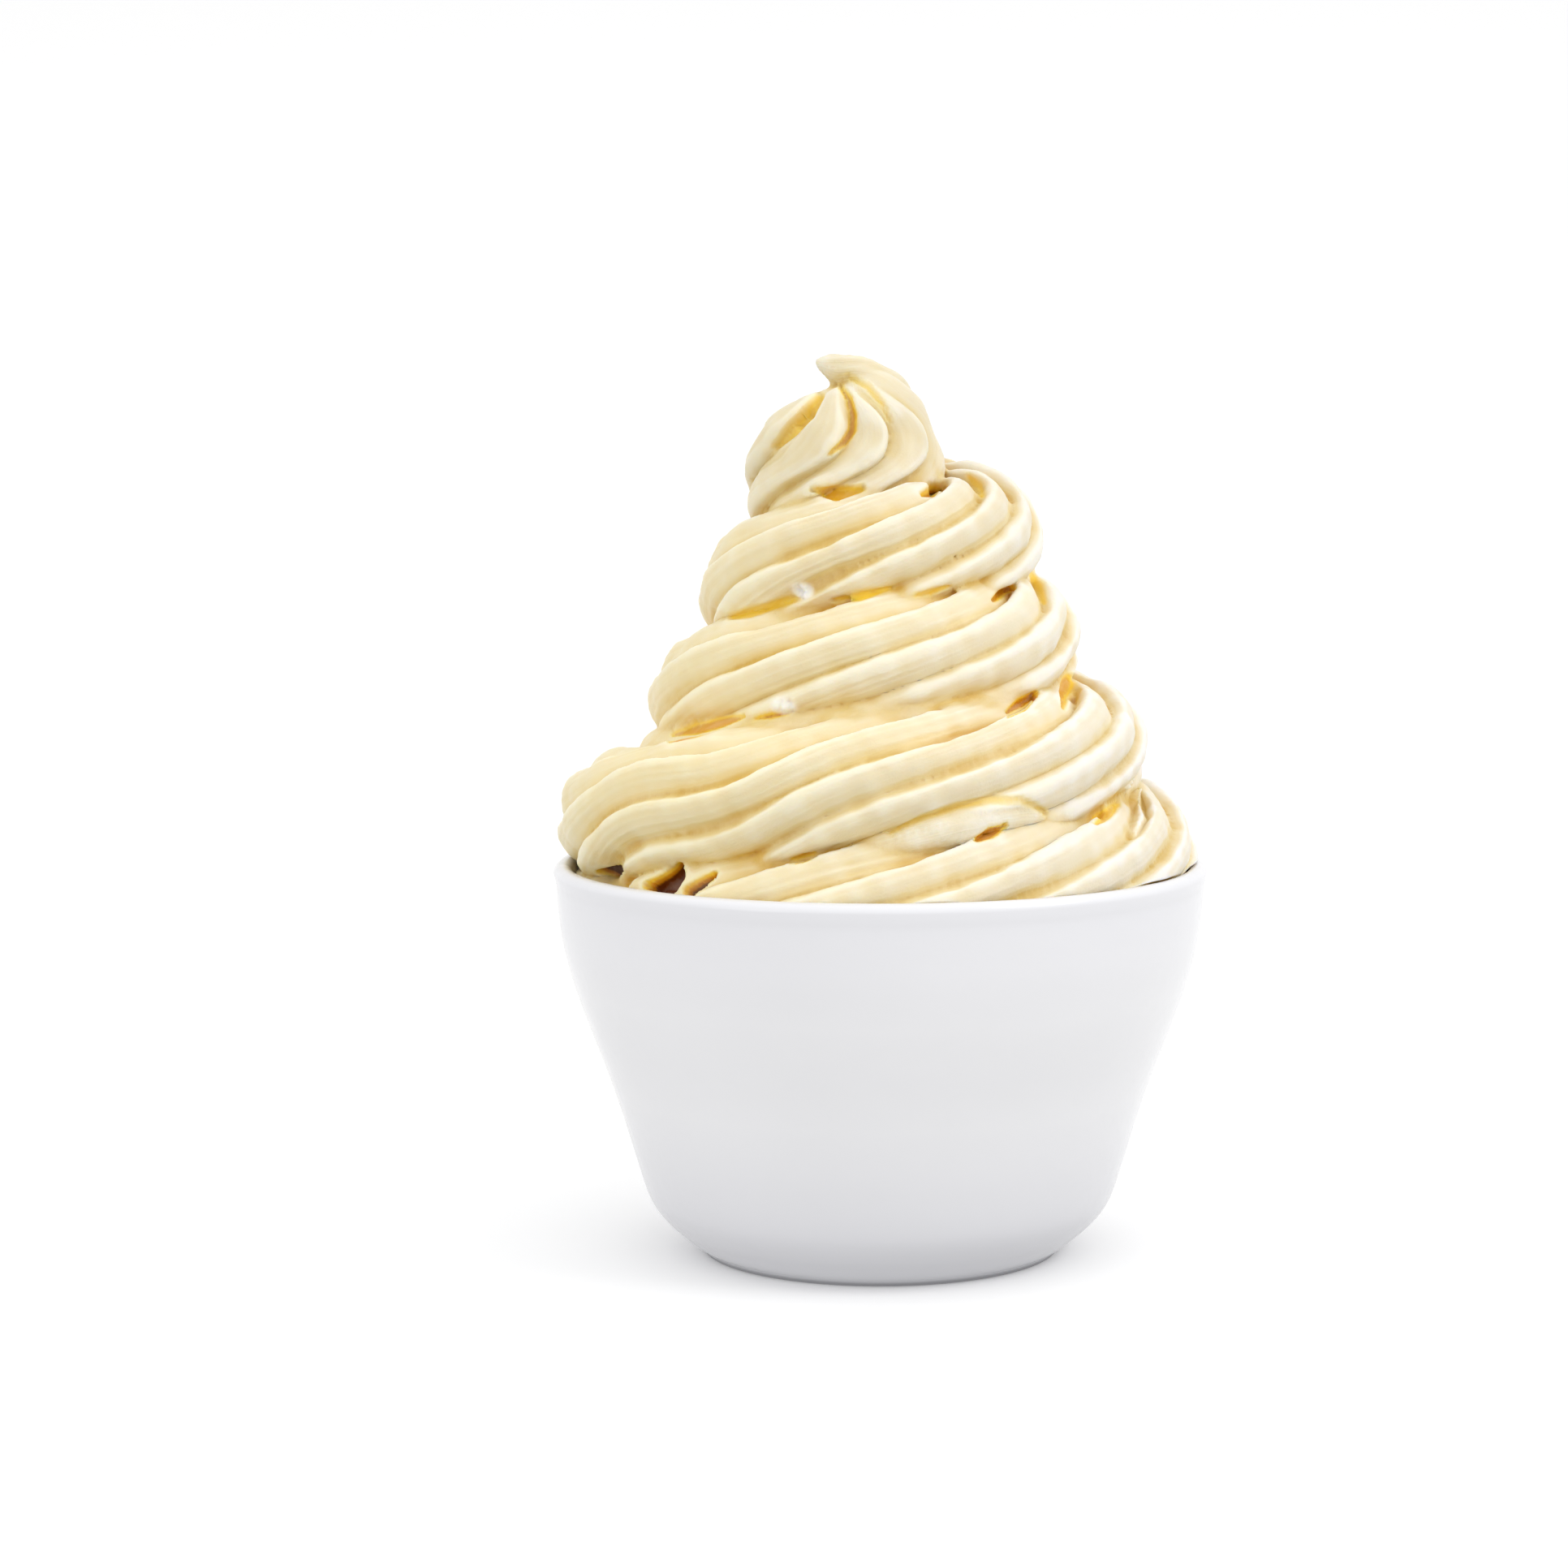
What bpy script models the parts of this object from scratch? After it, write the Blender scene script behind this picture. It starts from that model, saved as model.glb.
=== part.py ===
"""A white ceramic cup, heaped with one piped swirl of soft-serve ice cream.

Frame: +Z up, origin at the centre of the cup's foot, the swirl's tip hooking towards -X.
The swirl winds upwards and anticlockwise seen from above, and its front faces -Y.
"""

import math

import bmesh
import bpy
from mathutils import Vector

MM = 0.001
TURN = 2 * math.pi
# Half the step over which a curve's direction is taken, in turns or stations.
NUDGE = 0.001

# Cup: driving dimensions.
RIM_HEIGHT = 60.5 * MM
RIM_RADIUS = 50.2 * MM
WALL = 3.0 * MM
INNER_FLOOR_HEIGHT = 5.4 * MM
INNER_CORNER = 1.6 * MM
INNER_CORNER_REACH = 6.0 * MM
FOOT_OUTER_RADIUS = 27.4 * MM
FOOT_INNER_RADIUS = 23.8 * MM
FOOT_RECESS = 1.4 * MM
FOOT_CHAMFER = 1.0 * MM
LIP_RADIUS = 1.45 * MM
LIP_STEPS = 4
CUP_SEGMENTS = 60
INNER_WALL_START = 5
INNER_WALL_STEP = 2
# Outer wall from the foot up to the neck below the lip: (radius, height) in millimetres.
OUTER_WALL = [
    (27.8, 0.8),
    (29.4, 1.8),
    (31.2, 3.3),
    (33.1, 5.0),
    (35.0, 7.3),
    (36.3, 10.0),
    (38.2, 16.0),
    (40.2, 22.5),
    (42.6, 29.4),
    (45.3, 36.5),
    (47.3, 42.3),
    (48.8, 48.0),
    (49.5, 53.0),
    (49.8, 57.4),
]

# Ice cream: the rope that an eight-pointed star nozzle lays.
FLUTES = 8
FLUTE_DEPTH = 1.8 * MM
CREST_SHARE = 0.80
RISE_POWER = 0.8
FALL_POWER = 0.75
POINTS_ON_FLUTE = (0.0, 0.24, 0.55, 0.82)
FIRST_TURN = -0.40
LAST_TURN = 3.50
RINGS_PER_TURN = 40
# The rope is made in lengths of so many turns, each ending in a narrow plug inside the next.
LENGTH_TURNS = 0.5
PLUG_TURNS = 0.02
PLUG_SCALE = 0.6
# Centreline of the rope every quarter turn from +X, in millimetres:
# (turns, radius, height, half width, half height, flutes that have come round the outside).
ROPE = [
    (-0.75, 35.5, 47.0, 10.0, 10.0, -3.9),
    (-0.50, 36.0, 52.0, 10.3, 10.3, -1.5),
    (-0.25, 37.0, 58.4, 10.8, 10.6, 1.8),
    (0.00, 38.2, 62.0, 10.6, 10.6, 4.9),
    (0.25, 38.6, 64.0, 10.8, 10.6, 7.3),
    (0.50, 39.0, 67.0, 10.8, 10.8, 9.6),
    (0.75, 33.4, 75.4, 10.8, 10.8, 12.6),
    (1.00, 30.0, 78.2, 10.8, 10.8, 15.4),
    (1.25, 27.8, 81.0, 10.8, 10.8, 17.9),
    (1.50, 25.0, 85.2, 10.6, 10.8, 20.1),
    (1.75, 22.8, 92.4, 10.6, 10.8, 22.0),
    (2.00, 20.3, 94.2, 10.6, 10.8, 24.6),
    (2.25, 18.8, 97.6, 10.4, 10.6, 26.8),
    (2.50, 17.4, 102.0, 10.5, 10.6, 28.9),
    (2.75, 16.0, 107.6, 10.5, 10.6, 30.8),
    (3.00, 14.2, 110.2, 10.7, 10.8, 33.3),
    (3.25, 12.6, 113.4, 10.0, 10.6, 35.4),
    (3.50, 10.6, 117.0, 9.2, 10.2, 37.5),
]
# The flutes crowd where the rope faces the front and spread where it turns away.
FLUTE_PHASE = math.radians(12.0)
FRONT_TURN = 0.78
FRONT_SPACING = math.radians(33.0)
SIDE_SPACING = math.radians(56.0)
# The nozzle shook once on the second turn, by this swing in flutes.
SHAKE_TURN = 0.63
SHAKE_TURNS = 0.20
SHAKE_FADE = 0.07
SHAKE_SWING = 0.36

# A fold of the rope pressed up against the turn above, front right:
# (station, degrees from the front towards +X, radius, height, half thickness) in millimetres.
FOLD = [
    (0, -12.0, 37.6, 63.6, 1.5),
    (1, -2.0, 39.4, 66.6, 2.3),
    (2, 8.0, 40.2, 69.0, 2.5),
    (3, 18.0, 40.4, 70.8, 2.5),
    (4, 27.0, 39.9, 71.9, 2.3),
    (5, 34.0, 39.1, 71.7, 1.7),
    (6, 38.0, 38.4, 71.2, 0.7),
]
FOLD_SIDES = 8
FOLD_RINGS_PER_STATION = 2

# The last, drawn-up turn and its hooked tip, in millimetres:
# (station, centre X, height, radius, lean towards -X in degrees, turn of the flutes in degrees).
CROWN = [
    (0, -4.0, 106.0, 13.5, 0, -215),
    (1, -4.8, 112.0, 14.8, 0, -172),
    (2, -5.2, 117.0, 15.3, 0, -138),
    (3, -5.2, 122.0, 15.1, 0, -100),
    (4, -5.4, 126.1, 13.8, 1, -87),
    (5, -4.9, 129.6, 11.9, 2, -90),
    (6, -3.6, 132.4, 8.8, 4, -104),
    (7, -2.7, 134.0, 5.9, 12, -120),
    (8, -2.9, 134.8, 3.9, 25, -136),
    (9, -4.0, 135.4, 3.1, 50, -150),
    (10, -5.9, 135.6, 2.8, 71, -162),
    (11, -8.1, 136.1, 2.2, 88, -172),
    (12, -10.1, 136.5, 0.9, 101, -180),
]
# Grooves round the crown, in degrees, and how deep each is for its radius.
CROWN_GROOVES = (0.0, 30.0, 66.0, 112.0, 158.0, 206.0, 254.0, 306.0)
CROWN_DEPTHS = (0.22, 0.17, 0.10, 0.15, 0.15, 0.15, 0.15, 0.24)
DEEPEST_GROOVE = 2.6 * MM
# From the first of these stations to the second, the grooves draw together by this many degrees.
CROWN_CROWDING = 28.0
CROWDING_START = 3.5
CROWDING_END = 6.5
CROWN_RINGS_PER_STATION = 2

# The filling under the swirl: (radius, height) in millimetres.
CORE = [
    (0.0, 3.0),
    (48.0, 3.0),
    (48.0, 56.5),
    (40.0, 57.5),
    (38.0, 62.0),
    (33.0, 74.0),
    (26.0, 84.0),
    (20.0, 96.0),
    (14.0, 109.0),
    (8.0, 118.0),
    (0.0, 119.0),
]
GAP = 0.3 * MM
ROOM_MARGIN = 10.0 * MM
SHORTEST_EDGE = 0.05 * MM


def through(rows, t):
    """Values at t on the smooth curve through the rows, whose first column is evenly spaced."""
    step = rows[1][0] - rows[0][0]
    place = min(max((t - rows[0][0]) / step, 0.0), len(rows) - 1.000001)
    i = int(place)
    f = place - i
    b = Vector(rows[i][1:])
    c = Vector(rows[i + 1][1:])
    a = Vector(rows[i - 1][1:]) if i > 0 else 2 * b - c
    d = Vector(rows[i + 2][1:]) if i + 2 < len(rows) else 2 * c - b
    return 0.5 * (2 * b + (c - a) * f + (2 * a - 5 * b + 4 * c - d) * f ** 2
                  + (3 * (b - c) + d - a) * f ** 3)


def flute_height(share):
    """Height across one flute, 0 in the groove and 1 at the crest, which leans up the rope."""
    if share < CREST_SHARE:
        return math.sin(0.5 * math.pi * share / CREST_SHARE) ** RISE_POWER
    return math.cos(0.5 * math.pi * (share - CREST_SHARE) / (1 - CREST_SHARE)) ** FALL_POWER


def flute_angle(place, spacing):
    """Angle round the rope of a place counted in flutes, with this spacing on the outside."""
    even = TURN / FLUTES
    return even * place - (even - spacing) / even * math.sin(even * place)


def rope_centre(t):
    """Point on the rope's centreline after t turns."""
    radius, height = through(ROPE, t)[:2]
    return Vector((radius * math.cos(TURN * t), radius * math.sin(TURN * t), height)) * MM


def rope_ring(t, scale=1.0):
    """Section of the rope after t turns, one point for each place on the flutes."""
    _, _, half_width, half_height, passed = through(ROPE, t)
    along = (rope_centre(t + NUDGE) - rope_centre(t - NUDGE)).normalized()
    out = Vector((math.cos(TURN * t), math.sin(TURN * t), 0.0))
    out = (out - along * out.dot(along)).normalized()
    up = out.cross(along)
    if up.z < 0:
        up = -up
    past = t - SHAKE_TURN
    passed -= SHAKE_SWING * math.sin(TURN * past / SHAKE_TURNS) * math.exp(-(past / SHAKE_FADE) ** 2)
    side = math.sin(math.pi * (t - FRONT_TURN)) ** 2
    spacing = FRONT_SPACING + (SIDE_SPACING - FRONT_SPACING) * side
    ring = []
    for flute in range(FLUTES):
        for share in POINTS_ON_FLUTE:
            place = (flute + share + passed + FLUTES / 2) % FLUTES - FLUTES / 2
            angle = FLUTE_PHASE + flute_angle(place, spacing)
            sunk = FLUTE_DEPTH * (1 - flute_height(share))
            offset = (half_width * MM - sunk) * math.cos(angle) * out
            offset += (half_height * MM - sunk) * math.sin(angle) * up
            ring.append(rope_centre(t) + scale * offset)
    return ring


def fold_centre(station):
    """Point on the fold's centreline."""
    turn, radius, height = through(FOLD, station)[:3]
    turn = math.radians(turn)
    return Vector((radius * math.sin(turn), -radius * math.cos(turn), height)) * MM


def fold_ring(station):
    """Round section of the fold at a station."""
    centre = fold_centre(station)
    along = (fold_centre(station + NUDGE) - fold_centre(station - NUDGE)).normalized()
    out = Vector((centre.x, centre.y, 0.0))
    out = (out - along * out.dot(along)).normalized()
    up = along.cross(out)
    reach = through(FOLD, station)[3] * MM
    ring = []
    for k in range(FOLD_SIDES):
        angle = TURN * k / FOLD_SIDES
        ring.append(centre + reach * (math.cos(angle) * out + math.sin(angle) * up))
    return ring


def crown_ring(station):
    """Section of the crown at a station, its flutes drawn together at the tip."""
    x, height, radius, lean, turn = through(CROWN, station)
    lean = math.radians(lean)
    across = Vector((math.cos(lean), 0.0, math.sin(lean)))
    rise = min(max((station - CROWDING_START) / (CROWDING_END - CROWDING_START), 0.0), 1.0)
    crowding = CROWN_CROWDING * rise * rise * (3 - 2 * rise)
    ring = []
    for flute in range(FLUTES):
        after = (flute + 1) % FLUTES
        width = (CROWN_GROOVES[after] - CROWN_GROOVES[flute]) % 360
        for share in POINTS_ON_FLUTE:
            place = CROWN_GROOVES[flute] + width * share
            angle = math.radians(turn + place - crowding * math.sin(math.radians(place)))
            depth = CROWN_DEPTHS[flute] + (CROWN_DEPTHS[after] - CROWN_DEPTHS[flute]) * share
            sunk = min(DEEPEST_GROOVE / MM, depth * radius) * (1 - flute_height(share))
            spoke = math.cos(angle) * across + math.sin(angle) * Vector((0, 1, 0))
            ring.append((Vector((x, 0, height)) + (radius - sunk) * spoke) * MM)
    return ring


def new_object(name, bm, collection):
    """Object made from a bmesh, in triangles with their fronts outwards."""
    bmesh.ops.recalc_face_normals(bm, faces=bm.faces)
    bmesh.ops.triangulate(bm, faces=bm.faces, quad_method='BEAUTY')
    mesh = bpy.data.meshes.new(name)
    bm.to_mesh(mesh)
    bm.free()
    obj = bpy.data.objects.new(name, mesh)
    collection.objects.link(obj)
    return obj


def tube(name, rings, collection):
    """Closed tube through the rings, its two ends drawn to their middles."""
    bm = bmesh.new()
    loops = [[bm.verts.new(p) for p in ring] for ring in rings]
    count = len(rings[0])
    for low, high in zip(loops[:-1], loops[1:]):
        for k in range(count):
            m = (k + 1) % count
            bm.faces.new((low[k], low[m], high[m], high[k]))
    for ring, loop in ((rings[0], loops[0]), (rings[-1], loops[-1])):
        middle = bm.verts.new(sum(ring, Vector()) / count)
        for k in range(count):
            bm.faces.new((loop[k], loop[(k + 1) % count], middle))
    return new_object(name, bm, collection)


def turned(name, profile, segments, collection):
    """Closed solid turned round Z from a profile whose two ends are on the axis."""
    bm = bmesh.new()
    loops = []
    for radius, height in profile[1:-1]:
        loop = []
        for k in range(segments):
            angle = TURN * k / segments
            loop.append(bm.verts.new((radius * math.cos(angle), radius * math.sin(angle), height)))
        loops.append(loop)
    for low, high in zip(loops[:-1], loops[1:]):
        for k in range(segments):
            m = (k + 1) % segments
            bm.faces.new((low[k], low[m], high[m], high[k]))
    for end, loop in ((profile[0], loops[0]), (profile[-1], loops[-1])):
        middle = bm.verts.new((0.0, 0.0, end[1]))
        for k in range(segments):
            bm.faces.new((loop[k], loop[(k + 1) % segments], middle))
    return new_object(name, bm, collection)


def lip(gap):
    """Rounded lip from the outer neck over the top to the inner neck, grown by the gap."""
    centre_radius = RIM_RADIUS - LIP_RADIUS
    centre_height = RIM_HEIGHT - LIP_RADIUS
    points = []
    for k in range(LIP_STEPS + 1):
        angle = math.pi * k / LIP_STEPS
        reach = LIP_RADIUS + gap
        points.append((centre_radius + reach * math.cos(angle), centre_height + reach * math.sin(angle)))
    return points


def inner_wall(gap):
    """Inside of the cup from the neck down to the floor, moved inwards by the gap."""
    points = []
    for radius, height in reversed(OUTER_WALL[INNER_WALL_START::INNER_WALL_STEP]):
        points.append((radius * MM - WALL - gap, height * MM))
    edge = points[-1][0]
    points.append((edge - INNER_CORNER, INNER_FLOOR_HEIGHT + INNER_CORNER + gap))
    points.append((edge - INNER_CORNER_REACH, INNER_FLOOR_HEIGHT + gap))
    points.append((0.0, INNER_FLOOR_HEIGHT + gap))
    return points


def make_cup(collection):
    """The cup: foot ring, flared wall and rounded lip in one turned solid."""
    profile = [(0.0, FOOT_RECESS)]
    profile.append((FOOT_INNER_RADIUS - FOOT_CHAMFER, FOOT_RECESS))
    profile.append((FOOT_INNER_RADIUS, 0.0))
    profile.append((FOOT_OUTER_RADIUS, 0.0))
    profile += [(radius * MM, height * MM) for radius, height in OUTER_WALL]
    profile += lip(0.0)
    profile += inner_wall(0.0)
    return turned("cup", profile, CUP_SEGMENTS, collection)


def make_room(collection):
    """All the space under the rim that the filling leaves free, and the cup's wall with it."""
    profile = [(0.0, -ROOM_MARGIN)]
    profile.append((RIM_RADIUS + ROOM_MARGIN, -ROOM_MARGIN))
    profile.append((RIM_RADIUS + ROOM_MARGIN, RIM_HEIGHT + GAP))
    profile += lip(GAP)[LIP_STEPS // 2:]
    profile += inner_wall(GAP)
    return turned("room", profile, CUP_SEGMENTS, collection)


def make_rope(collection):
    """The rope in several lengths, each reaching a little into the next one."""
    count = math.ceil((LAST_TURN - FIRST_TURN) / LENGTH_TURNS)
    for length in range(count):
        start = FIRST_TURN + LENGTH_TURNS * length
        end = min(start + LENGTH_TURNS, LAST_TURN)
        steps = round((end - start) * RINGS_PER_TURN)
        rings = [rope_ring(start + (end - start) * k / steps) for k in range(steps + 1)]
        rings.append(rope_ring(end + PLUG_TURNS, PLUG_SCALE))
        tube("rope_%02d" % length, rings, collection)


def make_crown(collection):
    """The crown, from inside the rope's last turn up to the hooked tip."""
    steps = (len(CROWN) - 1) * CROWN_RINGS_PER_STATION
    rings = [crown_ring(k / CROWN_RINGS_PER_STATION) for k in range(steps + 1)]
    tube("crown", rings, collection)


def make_fold(collection):
    """The fold that was pressed up under the second turn."""
    steps = (len(FOLD) - 1) * FOLD_RINGS_PER_STATION
    rings = [fold_ring(k / FOLD_RINGS_PER_STATION) for k in range(steps + 1)]
    tube("fold", rings, collection)


def material(name, colour, roughness):
    """Plain material of one colour."""
    made = bpy.data.materials.new(name)
    made.use_nodes = True
    shader = made.node_tree.nodes["Principled BSDF"]
    shader.inputs["Base Color"].default_value = colour
    shader.inputs["Roughness"].default_value = roughness
    shader.inputs["Metallic"].default_value = 0.0
    return made


def merge_short_edges(bm):
    """Merge the ends of each short edge, wherever that leaves the surface closed."""
    searching = True
    while searching:
        searching = False
        for edge in bm.edges:
            if edge.calc_length() > SHORTEST_EDGE:
                continue
            a, b = edge.verts
            near_a = {link.other_vert(a) for link in a.link_edges}
            near_b = {link.other_vert(b) for link in b.link_edges}
            if len(near_a & near_b) == 2:
                bmesh.ops.pointmerge(bm, verts=[a, b], merge_co=(a.co + b.co) / 2)
                searching = True
                break


def shell_of(start):
    """All vertices joined by edges to the first one."""
    found = {start}
    front = [start]
    while front:
        for edge in front.pop().link_edges:
            for vert in edge.verts:
                if vert not in found:
                    found.add(vert)
                    front.append(vert)
    return found


def apply_modifiers(obj):
    """Replace the object's mesh by its evaluated one, as one outer shell without slivers."""
    graph = bpy.context.evaluated_depsgraph_get()
    mesh = bpy.data.meshes.new_from_object(obj.evaluated_get(graph))
    obj.modifiers.clear()
    mesh.materials.clear()
    bm = bmesh.new()
    bm.from_mesh(mesh)
    bmesh.ops.triangulate(bm, faces=bm.faces)
    merge_short_edges(bm)
    rest = set(bm.verts)
    shells = []
    while rest:
        shell = shell_of(next(iter(rest)))
        rest -= shell
        shells.append(shell)
    largest = max(shells, key=len)
    loose = [vert for vert in bm.verts if vert not in largest]
    bmesh.ops.delete(bm, geom=loose, context='VERTS')
    for face in bm.faces:
        face.material_index = 0
    bm.to_mesh(mesh)
    bm.free()
    obj.data = mesh


def add_boolean(obj, name, operation):
    """Boolean modifier for closed meshes."""
    modifier = obj.modifiers.new(name, 'BOOLEAN')
    modifier.operation = operation
    modifier.solver = 'MANIFOLD'
    return modifier


def make_ice_cream(collection):
    """The swirl and the filling, joined into one solid that fits the cup."""
    pieces = bpy.data.collections.new("pieces")
    bpy.context.scene.collection.children.link(pieces)
    make_rope(pieces)
    make_crown(pieces)
    make_fold(pieces)
    profile = [(radius * MM, height * MM) for radius, height in CORE]
    body = turned("ice_cream", profile, CUP_SEGMENTS, collection)
    join = add_boolean(body, "join", 'UNION')
    join.operand_type = 'COLLECTION'
    join.collection = pieces
    room = make_room(collection)
    fit = add_boolean(body, "fit", 'DIFFERENCE')
    fit.object = room
    bpy.context.view_layer.update()
    apply_modifiers(body)
    for obj in list(pieces.objects) + [room]:
        bpy.data.objects.remove(obj, do_unlink=True)
    bpy.data.collections.remove(pieces)
    return body


def main():
    """Build the cup and its ice cream."""
    for obj in list(bpy.data.objects):
        bpy.data.objects.remove(obj, do_unlink=True)
    collection = bpy.context.scene.collection
    cup = make_cup(collection)
    ice_cream = make_ice_cream(collection)
    cup.data.materials.append(material("glazed_china", (0.80, 0.81, 0.83, 1.0), 0.18))
    ice_cream.data.materials.append(material("soft_serve", (0.86, 0.74, 0.45, 1.0), 0.42))
    for obj in (cup, ice_cream):
        obj.data.shade_smooth()
        obj.data.set_sharp_from_angle(angle=math.radians(50))


main()
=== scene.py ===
"""The looks of the ice cream cup: a finely fluted swirl of soft-serve in a glazed white cup.

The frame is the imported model's: +Z up, the cup's foot at the origin, the front towards -Y.
The swirl and the cup are worked out here in millimetres and turned into metres at the end.
"""

import math

import bmesh
import bpy
import numpy as np
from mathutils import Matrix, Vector
from mathutils.kdtree import KDTree


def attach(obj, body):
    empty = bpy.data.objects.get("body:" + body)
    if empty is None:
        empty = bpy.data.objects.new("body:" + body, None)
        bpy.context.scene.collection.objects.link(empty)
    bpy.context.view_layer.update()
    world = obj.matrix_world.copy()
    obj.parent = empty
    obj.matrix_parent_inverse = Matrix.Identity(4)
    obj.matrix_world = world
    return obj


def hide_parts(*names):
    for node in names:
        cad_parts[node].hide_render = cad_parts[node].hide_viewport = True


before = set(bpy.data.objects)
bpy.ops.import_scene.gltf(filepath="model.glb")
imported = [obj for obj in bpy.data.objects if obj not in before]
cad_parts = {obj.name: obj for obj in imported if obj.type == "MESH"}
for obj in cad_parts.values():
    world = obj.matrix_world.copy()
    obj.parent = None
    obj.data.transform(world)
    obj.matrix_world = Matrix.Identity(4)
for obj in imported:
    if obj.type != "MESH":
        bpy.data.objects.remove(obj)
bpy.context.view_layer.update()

MM = 0.001
TINY = 1e-6
TURN = 2 * math.pi

# The cup, as the solid has it.
RIM_HEIGHT = 60.5
RIM_RADIUS = 50.2
WALL = 3.0
INNER_FLOOR_HEIGHT = 5.4
FOOT_OUTER_RADIUS = 27.4
FOOT_INNER_RADIUS = 23.8
FOOT_RECESS = 1.4
FOOT_RECESS_CURVE = 1.0
# Bevels of the foot ring: across and up.
FOOT_INNER_BEVEL = (0.4, 0.15)
FOOT_OUTER_BEVEL = (0.3, 0.12)
LIP_RADIUS = 1.45
LIP_STEPS = 12
CUP_SEGMENTS = 192
WALL_STEPS = 56
OUTER_WALL = [
    (27.8, 0.8),
    (29.4, 1.8),
    (31.2, 3.3),
    (33.1, 5.0),
    (35.0, 7.3),
    (36.3, 10.0),
    (38.2, 16.0),
    (40.2, 22.5),
    (42.6, 29.4),
    (45.3, 36.5),
    (47.3, 42.3),
    (48.8, 48.0),
    (49.5, 53.0),
    (49.8, 57.4),
]
# Inside, the wall ends this far above the floor, and a bevel and a flat curve lead down to it.
WALL_END = 4.0
FLOOR_BEVEL = 1.6
FLOOR_CURVE = 6.0
GAP = 0.3
# The air round the cup reaches this far out and down.
AIR_RADIUS = 60.0
AIR_DEPTH = 3.0

# The rope: (turns from +X, radius, height, half width, half height, flutes that came round).
ROPE = np.array([
    (-0.75, 35.5, 47.0, 10.0, 10.0, -3.9),
    (-0.50, 36.0, 52.0, 10.3, 10.3, -1.5),
    (-0.25, 37.0, 58.4, 10.8, 10.6, 1.8),
    (0.00, 38.2, 62.0, 10.6, 10.6, 4.9),
    (0.25, 38.6, 64.0, 10.8, 10.6, 7.3),
    (0.50, 39.0, 67.0, 10.8, 10.8, 9.6),
    (0.75, 33.4, 75.4, 10.8, 10.8, 12.6),
    (1.00, 30.0, 78.2, 10.8, 10.8, 15.4),
    (1.25, 27.8, 81.0, 10.8, 10.8, 17.9),
    (1.50, 25.0, 85.2, 10.6, 10.8, 20.1),
    (1.75, 22.8, 92.4, 10.6, 10.8, 22.0),
    (2.00, 20.3, 94.2, 10.6, 10.8, 24.6),
    (2.25, 18.8, 97.6, 10.4, 10.6, 26.8),
    (2.50, 17.4, 102.0, 10.5, 10.6, 28.9),
    (2.75, 16.0, 107.6, 10.5, 10.6, 30.8),
    (3.00, 14.2, 110.2, 10.7, 10.8, 33.3),
    (3.25, 12.6, 113.4, 10.0, 10.6, 35.4),
    (3.50, 10.6, 117.0, 9.2, 10.2, 37.5),
])
FIRST_TURN = -0.40
LAST_TURN = 3.50
ROPE_RINGS = 1800
FLUTES = 8
FLUTE_POINTS = 16
FLUTE_DEPTH = 2.2
CREASE_DEPTH = 1.5
CREST_SHARE = 0.82
RISE_POWER = 0.8
FALL_POWER = 0.6
FLUTE_PHASE = math.radians(12.0)
FRONT_TURN = 0.78
FRONT_SPACING = math.radians(33.0)
SIDE_SPACING = math.radians(56.0)
# On the upper side of the rope the flutes deepen between these sines of the angle round it.
CREASE_RANGE = (0.60, 0.95)
# Where the nozzle shook: (turn, length in turns, swing in flutes, share of the length it spans).
SHAKE = (0.63, 0.20, 0.36, 0.35)
# A short way along the rope, in turns, that gives its direction.
SHORT_WAY = 0.001

# The crown: (station, centre X, height, radius, lean towards -X and turn of the flutes in degrees).
CROWN = np.array([
    (0, -4.0, 106.0, 13.5, 0, -215),
    (1, -4.8, 112.0, 14.8, 0, -172),
    (2, -5.2, 117.0, 15.3, 0, -138),
    (3, -5.2, 122.0, 15.1, 0, -100),
    (4, -5.4, 126.1, 13.8, 1, -87),
    (5, -4.9, 129.6, 11.9, 2, -90),
    (6, -3.6, 132.4, 8.8, 4, -104),
    (7, -2.7, 134.0, 5.9, 12, -120),
    (8, -2.9, 134.8, 3.9, 25, -136),
    (9, -4.0, 135.4, 3.1, 50, -150),
    (10, -5.9, 135.6, 2.8, 71, -162),
    (11, -8.1, 136.1, 2.2, 88, -172),
    (12, -10.1, 136.5, 0.9, 101, -180),
])
# Grooves round the crown, in degrees, and how deep each is for its radius.
CROWN_GROOVES = np.array([0.0, 30.0, 66.0, 112.0, 158.0, 206.0, 254.0, 306.0])
CROWN_DEPTHS = np.array([0.24, 0.17, 0.10, 0.15, 0.15, 0.15, 0.15, 0.26])
DEEPEST_GROOVE = 2.8
# From the first of these stations to the second, the grooves draw together by this many degrees.
CROWN_CROWDING = 28.0
CROWDING_START = 3.5
CROWDING_END = 6.5
CROWN_RINGS = 150

# The fold: (station, degrees from the front towards +X, radius, height, half thickness).
FOLD = np.array([
    (0, -12.0, 37.6, 63.6, 1.5),
    (1, -2.0, 39.4, 66.6, 2.3),
    (2, 8.0, 40.2, 69.0, 2.5),
    (3, 18.0, 40.4, 70.8, 2.5),
    (4, 27.0, 39.9, 71.9, 2.3),
    (5, 34.0, 39.1, 71.7, 1.7),
    (6, 38.0, 38.4, 71.2, 0.7),
])
FOLD_RINGS = 60
FOLD_SIDES = 24

CORE = [
    (0.0, 3.0),
    (48.0, 3.0),
    (48.0, 58.3),
    (42.0, 60.0),
    (38.0, 63.0),
    (33.0, 74.0),
    (26.0, 84.0),
    (20.0, 96.0),
    (14.0, 109.0),
    (8.0, 118.0),
    (0.0, 119.0),
]
CORE_SEGMENTS = 96
FILLING_RADIUS = 5.0
FILLING_RINGS = 400
FILLING_SIDES = 32
VOXEL = 0.42

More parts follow.
